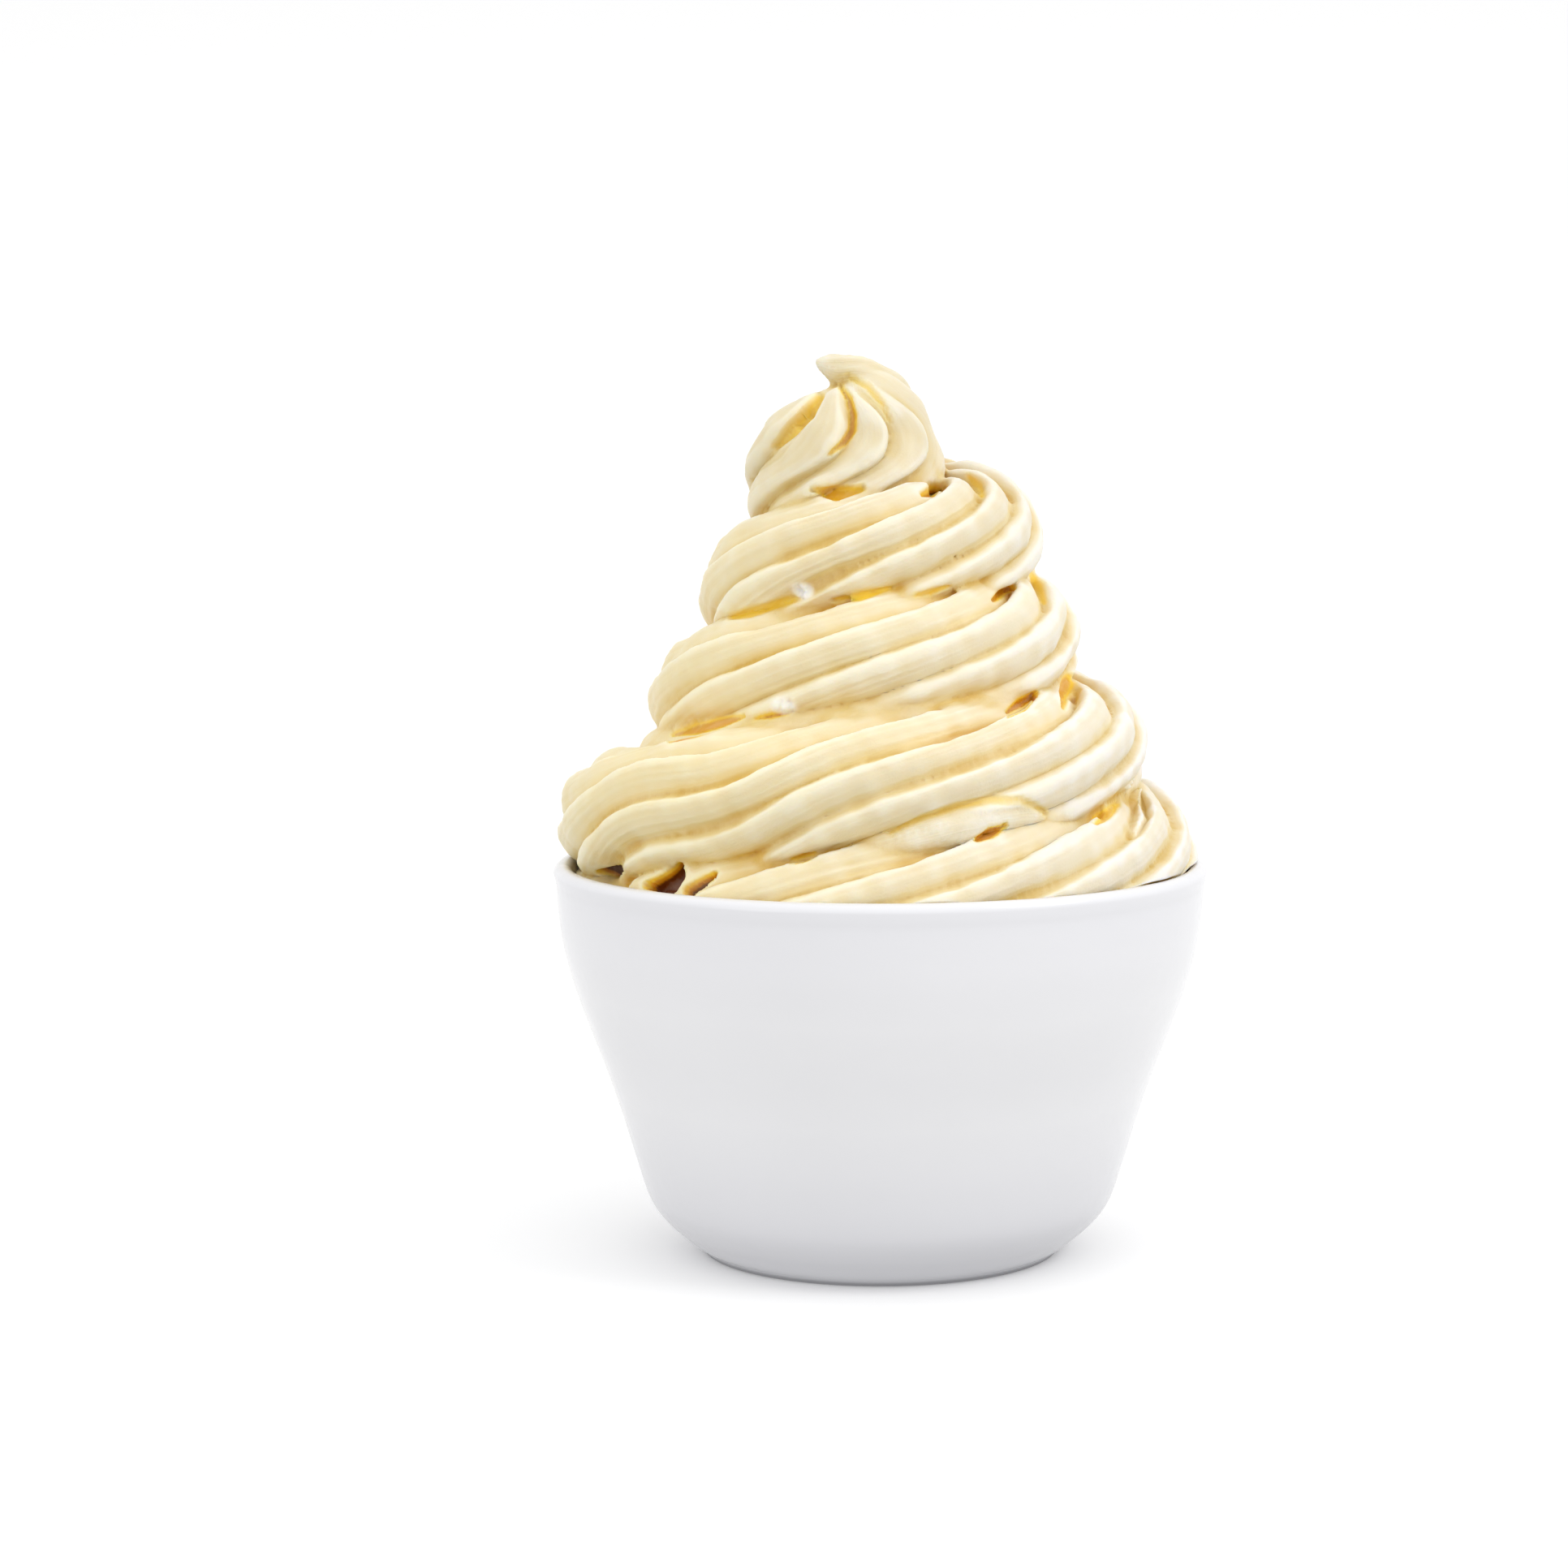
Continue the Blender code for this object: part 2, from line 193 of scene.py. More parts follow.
# The skin: rounds of smoothing, and the lines and swellings drawn on it.
SEED = 7
SKIN_ROUNDS = 3
MARK_ROUNDS = 4
GROOVE_ROUNDS = 16
CREASE_ROUNDS = 120
HOLE_ROUNDS = 40
HOLE_EDGE_ROUNDS = 2
STRONG = 0.9
# Lengths along the rope, crown and fold are counted this far apart, and a longer step than the
# next is a seam between two runs. Points nearer than the last are the same one.
RUN_APART = 2000.0
RUN_STEP = 4.0
SAME_POINT = 0.3
DRAG_WAVES = 14
DRAG_LINES = (18, 60)
# How far along the rope a line takes to drift round it and to swell: least and most.
DRAG_DRIFT = (60, 200)
DRAG_SWELL = (25, 90)
DRAG_HEIGHT = 0.04
SWELL_WAVES = 16
SWELL_SPREAD = (0.7, 1.6)
BROAD_SWELL = 0.22
BROAD_LENGTH = 17.0
SMALL_SWELL = 0.07
SMALL_LENGTH = 5.0

# Hollows seen from the front: (depth, colour, [(X, height, half width), ...] along each one). The colour is
# painted shade, with a painted orange glow of light through the cream.
# These are troughs and holes of their own.
HOLES = [
    (0.9, 0.55, [(-9.1, 131.8, 0.8), (-10.9, 129.3, 1.3), (-12.2, 127.9, 0.9)]),
    (0.9, 0.38, [(-10.9, 129.3, 1.3), (-13.4, 126.6, 1.2), (-15.8, 124.2, 0.7)]),
    (0.6, 0.70, [(-6.0, 133.2, 0.4), (-4.7, 131.5, 0.7), (-4.1, 129.1, 0.8), (-4.2, 126.7, 0.8),
                 (-5.4, 124.9, 0.7), (-7.6, 123.1, 0.3)]),
    (0.35, 0.35, [(-4.9, 134.8, 0.5), (-1.8, 133.2, 0.7), (0.4, 130.6, 0.7), (1.6, 127.9, 0.4)]),
    (1.1, 0.60, [(-10.2, 117.9, 0.5), (-6.6, 117.5, 1.3), (-2.7, 118.2, 0.6)]),
    (1.6, 0.86, [(6.4, 117.4, 0.5), (7.6, 117.8, 1.0), (8.9, 118.2, 0.5)]),
    (0.2, 0.42, [(13.4, 119.6, 0.6), (14.6, 118.4, 1.2), (15.3, 117.0, 0.6)]),
    (0.5, 0.42, [(-22.5, 99.0, 0.4), (-19.6, 99.8, 0.9), (-14.1, 101.6, 0.9), (-11.5, 102.3, 0.3)]),
    (0.5, 0.45, [(-7.0, 102.0, 0.4), (-3.0, 102.8, 0.9), (1.8, 103.9, 0.4)]),
    (0.3, 0.50, [(5.0, 102.8, 0.3), (7.8, 103.4, 0.7), (10.4, 104.0, 0.3)]),
    (0.9, 0.84, [(16.8, 101.9, 0.4), (18.2, 102.6, 0.8), (20.0, 103.4, 0.4)]),
    (0.2, 0.40, [(22.9, 104.9, 0.6), (24.0, 103.2, 1.3), (24.6, 101.0, 0.7)]),
    (0.5, 0.68, [(-31.2, 81.4, 0.4), (-27.6, 82.7, 0.9), (-23.6, 84.1, 0.9), (-20.0, 85.3, 0.4)]),
    (0.4, 0.72, [(-18.4, 85.0, 0.3), (-15.6, 85.6, 0.6), (-12.8, 86.2, 0.3)]),
    (0.9, 0.90, [(18.6, 85.8, 0.3), (20.8, 87.0, 0.9), (23.0, 88.2, 0.4)]),
    (0.8, 0.66, [(27.2, 86.2, 0.5), (27.8, 87.6, 1.2), (28.6, 88.9, 1.4)]),
    (0.45, 0.28, [(1.3, 69.7, 0.4), (6.4, 72.1, 0.6), (11.1, 73.5, 0.7), (15.8, 74.2, 0.8),
                  (20.4, 74.1, 0.8), (22.6, 72.9, 0.7), (24.2, 71.5, 0.4)]),
    (0.8, 0.86, [(13.9, 68.7, 0.4), (16.0, 69.6, 1.0), (18.2, 70.4, 0.4)]),
    (0.6, 0.62, [(31.6, 69.9, 0.4), (33.6, 70.6, 0.8), (35.6, 71.1, 0.4)]),
    (0.4, 0.62, [(-12.8, 65.6, 0.3), (-11.0, 66.1, 0.6), (-9.2, 66.6, 0.3)]),
    (2.2, 1.50, [(-42.2, 60.6, 0.6), (-39.8, 60.9, 1.1), (-38.6, 61.8, 0.5)]),
    (3.2, 1.50, [(-34.4, 60.6, 0.6), (-31.0, 61.3, 1.8), (-29.6, 62.6, 1.3), (-29.2, 64.0, 0.4)]),
    (2.2, 1.30, [(-28.1, 60.4, 0.8), (-26.2, 61.6, 0.9), (-24.0, 63.1, 0.4)]),
]
# These only change the crease that they run along, and their colour is painted shade as for the holes: the
# last one is half filled.
CREASES = [
    (0.8, 0.60, [(-30.4, 81.1, 1.2), (-26.5, 82.2, 1.4), (-21.9, 83.0, 1.4), (-14.2, 84.4, 1.0)]),
    (-1.8, 0.00, [(37.2, 73.4, 1.6), (38.0, 70.8, 2.4), (38.6, 67.2, 2.0)]),
]
HOLLOW_ENOUGH = (0.20, 0.90)
# Hollows this deep are partly filled, and are painted orange, a painted glow of light scattered through the
# cream.
PIT = (1.2, 3.2)
PIT_FILL = 0.60
PIT_GLOW = 0.50
# Small torn, frosted patches: (degrees from the front towards +X, height, half length, half width).
FROSTS = [
    (-27.5, 103.2, 2.1, 1.3),
    (-24.9, 87.0, 2.4, 1.5),
]
FROST_HEIGHT = 0.18
FROST_LENGTH = 1.3
# A hollow or patch is at full strength within this share of its reach.
STROKE_CORE = 0.4
FROST_CORE = 0.15

# Colours, from 0 to 255. A groove or crease is as many millimetres under the broad surface, and the cream
# is painted darker and yellower there as painted shade.
# Painted light: the swirl is painted paler towards +X, where the key light falls, and yellower on its
# shaded side.
SHADED_SIDE_TONE = (244, 235, 202)
LIT_SIDE_TONE = (241, 238, 234)
# Painted shade on the crown, greyer towards its top.
CROWN_SHADE = (245, 245, 246)
# Painted shade in the grooves between the flutes, with the crests keeping the full colour as a painted
# highlight.
GROOVE_SHADE_TONES = [
    (-0.30, (255, 255, 255)),
    (-0.08, (248, 241, 222)),
    (0.12, (244, 231, 190)),
    (0.42, (231, 204, 126)),
]
# Painted shade in the creases between the turns, darker and yellower the deeper they lie.
CREASE_SHADE_TONES = [
    (-0.5, (255, 255, 255)),
    (0.4, (253, 249, 238)),
    (1.0, (247, 230, 176)),
    (1.8, (232, 178, 86)),
]
# Painted shade and glow in the holes and pits: yellow and orange for light through the cream, dark brown in
# the depth as painted shade.
HOLE_SHADE_AND_GLOW_TONES = [
    (0.0, (250, 232, 160)),
    (0.45, (246, 210, 70)),
    (0.75, (214, 146, 8)),
    (1.0, (106, 46, 0)),
]
GLAZE_TONES = [(239, 239, 241), (243, 243, 245)]
# Painted shade on the glaze: greyer towards the foot, where the floor's shade falls, and in a band under
# the lip.
GLAZE_SHADE = (219, 219, 224)
# The bare foot ring is painted dark grey, a painted contact shadow.
BARE_FOOT_SHADOW = (150, 150, 154)
FROST_TONE = (250, 247, 242)
STREAK_TONE = (250, 244, 226)
BLUSH_TONE = (252, 240, 205)
PAPER = (0.93, 0.93, 0.93)
WHITE = (1.0, 1.0, 1.0)
# How much of their tones the holes, with their painted shade and glow, the streaks and the blushes take.
HOLE_SHADE_SHOWN = 0.4
STREAK_SHARE = 0.25
BLUSH_SHARE = 0.22
STREAK_RANGE = (0.35, 0.75)
BLUSH_RANGE = (0.40, 0.80)

# Where colours pass into each other, in millimetres: across the swirl, for its painted lit and shaded
# sides, up it, for the crown's painted shade, and up the cup, for the glaze's painted shade at the foot and
# under the lip and the bare foot's painted contact shadow.
LIT_SIDE_RANGE = (-30.0, 40.0)
CROWN_SHADE_RANGE = (108.0, 122.0)
FOOT_SHADE_RANGE = (0.0, 26.0)
LIP_SHADE_RANGE = (42.0, 56.0)
LIP_SHADE_SHARE = 0.45
BARE_SHADOW_RANGE = (0.4, 1.1)

# Grain: (waves to the metre, octaves), but to the millimetre round the rope for the streaks.
STREAKS = (0.9, 4.0)
STREAK_STRETCH = 0.08
STREAK_RADIUS = 10.0
MOTTLE = (160.0, 3.0)
GRAIN = (2600.0, 3.0)
CLOUD = (45.0, 2.0)
RIPPLE = (260.0, 2.0)
# Heights of the grain, in millimetres.
STREAK_HEIGHT = 0.15
GRAIN_HEIGHT = 0.05
RIPPLE_HEIGHT = 0.04

# How light passes into the cream: share, depth in millimetres, and spread by colour.
GLOW_SHARE = 0.8
GLOW_DEPTH = 1.1
GLOW_SPREAD = (1.0, 0.85, 0.55)
CREAM_IOR = 1.40
GLAZE_IOR = 1.5
# Roughness: from least to most with the grain, and what bare china adds.
NOISE_RANGE = (0.3, 0.7)
SATIN = (0.30, 0.44)
GRAIN_ROUGHNESS = 0.10
GLOSS = (0.14, 0.22)
BARE_ROUGHNESS = 0.5
PAPER_ROUGHNESS = 0.9
PAPER_SHINE = 0.2

# Floor and backdrop, in metres.
FLOOR_REACH = 3.0
SWEEP_START = 0.9
SWEEP_RADIUS = 0.5
SWEEP_STEPS = 16
BACKDROP_HEIGHT = 2.5
FLOOR_GLOW = 0.06
UNDER_LIGHT = 0.42
HORIZON_LIGHT = 1.00
OVERHEAD_LIGHT = 1.22

# Lights: (name, place and size in metres, power, colour), all aimed at the swirl.
LIGHTS = [
    ("key", (0.62, -0.30, 0.60), 0.45, 1.5, (1.0, 0.995, 0.99)),
    ("fill", (-0.55, -0.60, 0.16), 0.40, 0.4, (1.0, 1.0, 1.0)),
]
LIGHT_AIM = (0.0, 0.0, 0.075)

# The camera, in metres, with its sensor and lens in millimetres.
CAMERA_PLACE = (0.0, -0.600, 0.1369)
CAMERA_AIM = (0.0, 0.0, 0.0723)
SENSOR_WIDTH = 36.0
LENS = 90.1
LENS_SHIFT = -0.0614
CLIP_START = 0.05


def through(rows, t):
    """Values at each t on the smooth curve through the rows, whose first column is even."""
    t = np.atleast_1d(t)
    step = rows[1, 0] - rows[0, 0]
    place = np.clip((t - rows[0, 0]) / step, 0, len(rows) - 1 - TINY)
    i = place.astype(int)
    f = (place - i)[:, None]
    before = 2 * rows[:1] - rows[1:2]
    after = 2 * rows[-1:] - rows[-2:-1]
    padded = np.concatenate([before, rows, after])[:, 1:]
    a, b, c, d = (padded[i + k] for k in range(4))
    return 0.5 * (2 * b + (c - a) * f + (2 * a - 5 * b + 4 * c - d) * f ** 2
                  + (3 * (b - c) + d - a) * f ** 3)


def unit(v):
    """Vectors of length one."""
    return v / np.linalg.norm(v, axis=-1, keepdims=True)


def smoothstep(low, high, x):
    """0 below low, 1 above high, and a soft rise between them."""
    s = np.clip((x - low) / (high - low), 0, 1)
    return s * s * (3 - 2 * s)


def flute_height(share):
    """Height across one flute, 0 in the groove and 1 at the crest, which leans up the rope."""
    rise = np.sin(0.5 * math.pi * np.clip(share / CREST_SHARE, 0, 1)) ** RISE_POWER
    fall = np.cos(0.5 * math.pi * np.clip((share - CREST_SHARE) / (1 - CREST_SHARE), 0, 1)) ** FALL_POWER
    return np.where(share < CREST_SHARE, rise, fall)


def rope_centre(t):
    """Points on the rope's centreline."""
    rows = through(ROPE, t)
    return np.stack([rows[:, 0] * np.cos(TURN * t), rows[:, 0] * np.sin(TURN * t), rows[:, 1]], 1)


def rope_rings(t):
    """Sections of the rope at each t, FLUTES * FLUTE_POINTS points in each."""
    _, _, half_width, half_height, passed = through(ROPE, t).T
    along = unit(rope_centre(t + SHORT_WAY) - rope_centre(t - SHORT_WAY))
    out = np.stack([np.cos(TURN * t), np.sin(TURN * t), 0 * t], 1)
    out = unit(out - along * np.sum(out * along, 1, keepdims=True))
    up = np.cross(out, along)
    up *= np.sign(up[:, 2:])
    shake_turn, shake_length, shake_swing, shake_share = SHAKE
    since = (t - shake_turn) / shake_length
    passed = passed - shake_swing * np.sin(TURN * since) * np.exp(-(since / shake_share) ** 2)
    side = np.sin(math.pi * (t - FRONT_TURN)) ** 2
    spacing = (FRONT_SPACING + (SIDE_SPACING - FRONT_SPACING) * side)[:, None]
    counted = np.arange(FLUTES * FLUTE_POINTS) / FLUTE_POINTS
    share = counted % 1.0
    place = (counted[None, :] + passed[:, None] + FLUTES / 2) % FLUTES - FLUTES / 2
    even = TURN / FLUTES
    angle = FLUTE_PHASE + even * place - (even - spacing) / even * np.sin(even * place)
    depth = FLUTE_DEPTH + CREASE_DEPTH * smoothstep(*CREASE_RANGE, np.sin(angle))
    sunk = depth * (1 - flute_height(share))[None, :]
    offset = ((half_width[:, None] - sunk) * np.cos(angle))[:, :, None] * out[:, None, :]
    offset += ((half_height[:, None] - sunk) * np.sin(angle))[:, :, None] * up[:, None, :]
    return rope_centre(t)[:, None, :] + offset


def crown_rings(stations):
    """Sections of the crown, its flutes drawn together at the tip."""
    x, height, radius, lean, turn = through(CROWN, stations).T
    lean = np.radians(lean)
    across = np.stack([np.cos(lean), 0 * lean, np.sin(lean)], 1)
    widths = (np.roll(CROWN_GROOVES, -1) - CROWN_GROOVES) % 360
    deeper = np.roll(CROWN_DEPTHS, -1) - CROWN_DEPTHS
    share = np.arange(FLUTE_POINTS) / FLUTE_POINTS
    place = (CROWN_GROOVES[:, None] + widths[:, None] * share).ravel()
    depth = (CROWN_DEPTHS[:, None] + deeper[:, None] * share).ravel()
    crowding = CROWN_CROWDING * smoothstep(CROWDING_START, CROWDING_END, stations)
    angle = np.radians(turn[:, None] + place - crowding[:, None] * np.sin(np.radians(place)))
    sunk = np.minimum(DEEPEST_GROOVE, depth * radius[:, None]) * (1 - flute_height(np.tile(share, FLUTES)))
    reach = radius[:, None] - sunk
    centre = np.stack([x, 0 * x, height], 1)
    back = np.array([0.0, 1.0, 0.0])
    return centre[:, None, :] + reach[:, :, None] * (
        np.cos(angle)[:, :, None] * across[:, None, :] + np.sin(angle)[:, :, None] * back)


def round_rings(middle, reach, sides):
    """Round sections of these radii about the points of a line, upright and square to it."""
    along = unit(np.gradient(middle, axis=0))
    out = unit(middle * (1, 1, 0))
    out = unit(out - along * np.sum(out * along, 1, keepdims=True))
    up = np.cross(along, out)
    angle = TURN * np.arange(sides) / sides
    return middle[:, None, :] + reach[:, None, None] * (
        np.cos(angle)[None, :, None] * out[:, None, :] + np.sin(angle)[None, :, None] * up[:, None, :])


def fold_rings(stations):
    """Round sections of the fold."""
    turn, radius, height, reach = through(FOLD, stations).T
    turn = np.radians(turn)
    middle = np.stack([radius * np.sin(turn), -radius * np.cos(turn), height], 1)
    return round_rings(middle, reach, FOLD_SIDES)


def filling_rings(t):
    """Round sections of the cream that closes the crease between each turn and the next."""
    middle = 0.5 * (rope_centre(t) + rope_centre(t + 1.0))
    return round_rings(middle, np.full(len(t), FILLING_RADIUS), FILLING_SIDES)


def turned_rings(profile, segments):
    """Rings of a turned solid, without the profile's two ends on the axis."""
    radius, height = np.array(profile[1:-1]).T
    angle = TURN * np.arange(segments) / segments
    x = radius[:, None] * np.cos(angle)[None, :]
    y = radius[:, None] * np.sin(angle)[None, :]
    return np.stack([x, y, np.broadcast_to(height[:, None], x.shape)], 2)


def closed_tube(rings, ends=None):
    """Vertices and faces of a closed tube through the rings."""
    count, around, _ = rings.shape
    verts = rings.reshape(-1, 3)
    if ends is None:
        ends = (rings[0].mean(0), rings[-1].mean(0))
    verts = np.concatenate([verts, np.array(ends)])
    k = np.arange(around)
    m = (k + 1) % around
    faces = []
    for i in range(count - 1):
        low, high = i * around, (i + 1) * around
        faces.append(np.stack([low + k, low + m, high + m, high + k], 1))
    quads = np.concatenate(faces)
    first, last = count * around, count * around + 1
    fan_a = np.stack([m, k, np.full(around, first)], 1)
    base = (count - 1) * around
    fan_b = np.stack([base + k, base + m, np.full(around, last)], 1)
    return verts, quads.tolist() + fan_a.tolist() + fan_b.tolist()


def mesh_object(name, parts):
    """Object of several closed shells, given in millimetres."""
    verts = []
    faces = []
    for part_verts, part_faces in parts:
        start = sum(len(v) for v in verts)
        verts.append(part_verts)
        faces += [[start + i for i in face] for face in part_faces]
    mesh = bpy.data.meshes.new(name)
    mesh.from_pydata((np.concatenate(verts) * MM).tolist(), [], faces)
    mesh.validate()
    bm = bmesh.new()
    bm.from_mesh(mesh)
    bmesh.ops.recalc_face_normals(bm, faces=bm.faces)
    bm.to_mesh(mesh)
    bm.free()
    obj = bpy.data.objects.new(name, mesh)
    bpy.context.scene.collection.objects.link(obj)
    return obj


def apply_modifiers(obj):
    """Replace the object's mesh by its evaluated one."""
    graph = bpy.context.evaluated_depsgraph_get()
    mesh = bpy.data.meshes.new_from_object(obj.evaluated_get(graph))
    old = obj.data
    obj.modifiers.clear()
    obj.data = mesh
    bpy.data.meshes.remove(old)


def lip(gap):
    """Rounded lip from the outer neck over the top to the inner neck, grown by the gap."""
    angle = math.pi * np.arange(LIP_STEPS + 1) / LIP_STEPS
    reach = LIP_RADIUS + gap
    radius = RIM_RADIUS - LIP_RADIUS + reach * np.cos(angle)
    height = RIM_HEIGHT - LIP_RADIUS + reach * np.sin(angle)
    return list(zip(radius, height))


def fine_wall(steps):
    """The outer wall with more points, on the smooth curve through its own."""
    rows = np.array([(i, r, h) for i, (r, h) in enumerate(OUTER_WALL)], float)
    return [tuple(p) for p in through(rows, np.linspace(0, len(rows) - 1, steps))]


def inner_wall(gap):
    """Inside of the cup from the neck down to the floor, moved inwards by the gap."""
    lowest = INNER_FLOOR_HEIGHT + WALL_END
    points = [(radius - WALL - gap, height) for radius, height in reversed(OUTER_WALL) if height > lowest]
    edge = points[-1][0]
    floor = INNER_FLOOR_HEIGHT + gap
    points.append((edge - FLOOR_BEVEL, floor + FLOOR_BEVEL))
    points.append((edge - FLOOR_CURVE, floor))
    points.append((0.0, floor))
    return points


def make_cup():
    """The cup, turned from the solid's own profile with a finer wall and a rounder lip."""
    profile = [
        (0.0, FOOT_RECESS),
        (FOOT_INNER_RADIUS - FOOT_RECESS_CURVE, FOOT_RECESS),
        (FOOT_INNER_RADIUS, FOOT_INNER_BEVEL[1]),
        (FOOT_INNER_RADIUS + FOOT_INNER_BEVEL[0], 0.0),
        (FOOT_OUTER_RADIUS - FOOT_OUTER_BEVEL[0], 0.0),
        (FOOT_OUTER_RADIUS, FOOT_OUTER_BEVEL[1]),
    ]
    profile += fine_wall(WALL_STEPS) + lip(0.0) + inner_wall(0.0)
    ends = ((0, 0, profile[0][1]), (0, 0, profile[-1][1]))
    cup = mesh_object("china_cup", [closed_tube(turned_rings(profile, CUP_SEGMENTS), ends)])
    cup.data.shade_smooth()
    return cup


def make_room():
    """The cup's wall with its gap, and the air round and under it, for cutting the filling."""
    profile = [(0.0, -AIR_DEPTH), (AIR_RADIUS, -AIR_DEPTH), (AIR_RADIUS, RIM_HEIGHT + GAP)]
    profile += lip(GAP)[LIP_STEPS // 2:] + inner_wall(GAP)
    ends = ((0, 0, profile[0][1]), (0, 0, profile[-1][1]))
    return mesh_object("room", [closed_tube(turned_rings(profile, CUP_SEGMENTS), ends)])


def lengthwise(rings, start):
    """How far along its own run each ring lies, counted on from a start."""
    steps = np.linalg.norm(np.diff(rings.mean(1), axis=0), axis=1)
    return start + np.concatenate([[0.0], np.cumsum(steps)])


def make_swirl():
    """The rope, crown, fold and filling grown together into one skin."""
    rope = rope_rings(np.linspace(FIRST_TURN, LAST_TURN, ROPE_RINGS))
    crown = crown_rings(np.linspace(0, len(CROWN) - 1, CROWN_RINGS))
    fold = fold_rings(np.linspace(0, len(FOLD) - 1, FOLD_RINGS))
    filling = filling_rings(np.linspace(FIRST_TURN, LAST_TURN - 1.0, FILLING_RINGS))
    core = turned_rings(CORE, CORE_SEGMENTS)
    swirl = mesh_object("swirl", [
        closed_tube(rope),
        closed_tube(crown),
        closed_tube(fold),
        closed_tube(filling),
        closed_tube(core, ((0, 0, CORE[0][1]), (0, 0, CORE[-1][1]))),
    ])
    skin = swirl.modifiers.new("skin", 'REMESH')
    skin.mode = 'VOXEL'
    skin.voxel_size = VOXEL * MM
    apply_modifiers(swirl)
    marks = []
    for number, rings in enumerate((rope, crown, fold)):
        run = lengthwise(rings, number * RUN_APART)
        around = TURN * np.arange(rings.shape[1]) / rings.shape[1]
        ones = np.ones(rings.shape[:2])
        mark = [ones * np.cos(around), ones * np.sin(around), ones * run[:, None]]
        marks.append((rings.reshape(-1, 3), np.stack(mark, 2).reshape(-1, 3)))
    places = np.concatenate([place for place, _ in marks])
    marks = np.concatenate([mark for _, mark in marks])
    tree = KDTree(len(places))
    for i, place in enumerate(places):
        tree.insert(place, i)
    tree.balance()
    return swirl, tree, marks


def marks_at(points, pairs, tree, marks):
    """Cosine and sine of the place round the rope, the place along it, and where these hold good."""
    nearest = np.array([tree.find(point)[1] for point in points])
    found = marks[nearest]
    apart = np.abs(found[pairs[:, 0], 2] - found[pairs[:, 1], 2]) > RUN_STEP
    steady = np.ones(len(points))
    steady[pairs[apart].ravel()] = 0.0
    return averaged(found, pairs[~apart], MARK_ROUNDS), steady * averaged(steady, pairs, MARK_ROUNDS)


def coordinates(mesh):
    """Vertex positions in millimetres."""
    flat = np.empty(len(mesh.vertices) * 3)
    mesh.vertices.foreach_get("co", flat)
    return flat.reshape(-1, 3) / MM


def set_coordinates(mesh, points):
    """Move the vertices to these positions in millimetres."""
    mesh.vertices.foreach_set("co", (points * MM).ravel())
    mesh.update()


def normals(mesh):
    """Vertex normals."""
    flat = np.empty(len(mesh.vertices) * 3)
    mesh.vertex_normals.foreach_get("vector", flat)
    return flat.reshape(-1, 3)


def edges(mesh):
    """Vertex pairs of the edges."""
    flat = np.empty(len(mesh.edges) * 2, int)
    mesh.edges.foreach_get("vertices", flat)
    return flat.reshape(-1, 2)


def averaged(values, pairs, rounds, strength=0.5):
    """Values drawn towards their neighbours' mean, round after round."""
    columns = values.reshape(len(values), -1).T.copy()
    degree = np.bincount(pairs.ravel(), minlength=len(values))
    joined = degree > 0
    for _ in range(rounds):
        for column in columns:
            total = np.bincount(pairs[:, 0], column[pairs[:, 1]], len(column))
            total += np.bincount(pairs[:, 1], column[pairs[:, 0]], len(column))
            column[joined] += strength * (total[joined] / degree[joined] - column[joined])
    return columns.T.reshape(values.shape)


def store(mesh, name, values):
    """Keep a number or a vector for each vertex under a name that the material reads."""
    kind, field = ('FLOAT_VECTOR', "vector") if values.ndim == 2 else ('FLOAT', "value")
    attribute = mesh.attributes.new(name, kind, 'POINT')
    attribute.data.foreach_set(field, values.astype(np.float32).ravel())


def drag_lines(marks, rng):
    """Fine lines that the nozzle's teeth drag along the rope, about -1 to 1."""
    around = np.arctan2(marks[:, 1], marks[:, 0])
    total = np.zeros(len(marks))
    for _ in range(DRAG_WAVES):
        lines = rng.integers(*DRAG_LINES)
        drift, swell, phase, start = rng.uniform(*zip(DRAG_DRIFT, DRAG_SWELL, (0, TURN), (0, TURN)))
        strength = 0.5 + 0.5 * np.sin(TURN * marks[:, 2] / swell + start)
        total += strength * np.sin(lines * around + TURN * marks[:, 2] / drift + phase)
    return total / math.sqrt(DRAG_WAVES / 2)


def unevenness(points, wavelength, rng):
    """Smooth random swelling of the surface, about -1 to 1."""
    total = np.zeros(len(points))
    for _ in range(SWELL_WAVES):
        direction = unit(rng.normal(size=3)) * TURN / (wavelength * rng.uniform(*SWELL_SPREAD))
        total += np.sin(points @ direction + rng.uniform(0, TURN))
    return total / math.sqrt(SWELL_WAVES / 2)


def stroke(points, line):
    """1 along a line seen from the front, falling to 0 at its half width, for each point."""
    seen = points[:, (0, 2)]
    share = np.zeros(len(points))
    for (x, height, half_width), (next_x, next_height, next_half_width) in zip(line, line[1:]):
        start = np.array([x, height])
        run = np.array([next_x - x, next_height - height])
        place = np.clip((seen - start) @ run / (run @ run), 0, 1)
        apart = np.linalg.norm(seen - start - place[:, None] * run, axis=1)
        reach = apart / (half_width + place * (next_half_width - half_width))
        share = np.maximum(share, 1 - smoothstep(STROKE_CORE, 1.0, reach))
    return np.where(points[:, 1] < 0, share, 0.0)


